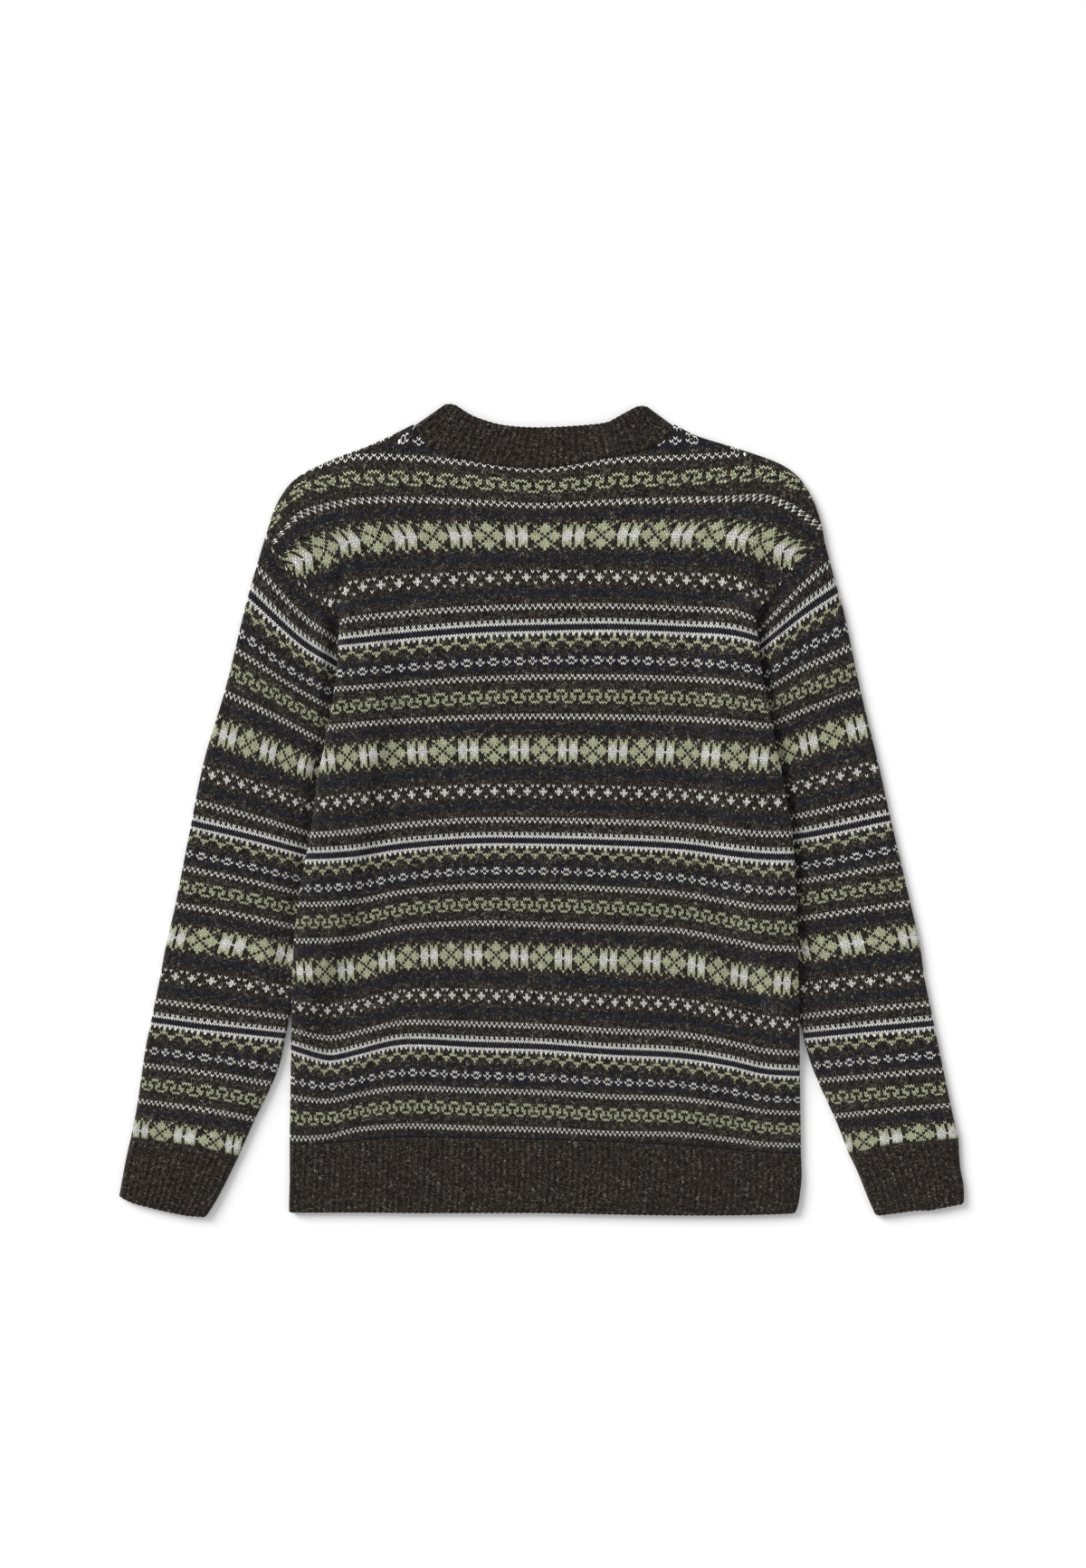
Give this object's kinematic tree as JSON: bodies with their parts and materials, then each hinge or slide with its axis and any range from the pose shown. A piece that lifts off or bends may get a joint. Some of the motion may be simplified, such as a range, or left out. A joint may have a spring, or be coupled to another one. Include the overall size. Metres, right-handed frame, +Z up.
{
  "type": "fair isle jumper",
  "caption": "Long-sleeved crew-neck jumper in stranded colour knit with ribbed neckband, cuffs and hem, laid out flat with its back up and the sleeves drawn down.",
  "frame": {"origin": "middle of the laid-out outline, on the surface that the jumper lies on", "axes": "+Z up out of the surface and out of the jumper's back, +Y from hem to neck, +X to the right of the picture, along the longest extent"},
  "size_m": [0.746, 0.7171, 0.0138],
  "materials": {
    "patterned_knit": "stranded wool knit, matt and slightly hairy, banded in brown-black, navy, soft green and off-white",
    "ribbed_knit": "brown-black melange wool in 1x1 rib, matt and slightly hairy"
  },
  "bodies": {
    "root": {"back": "patterned_knit", "front": "patterned_knit", "sleeve_left": "patterned_knit", "sleeve_right": "patterned_knit", "neckband": "ribbed_knit", "hem_rib": "ribbed_knit", "cuff_left": "ribbed_knit", "cuff_right": "ribbed_knit"}
  },
  "joints": []
}
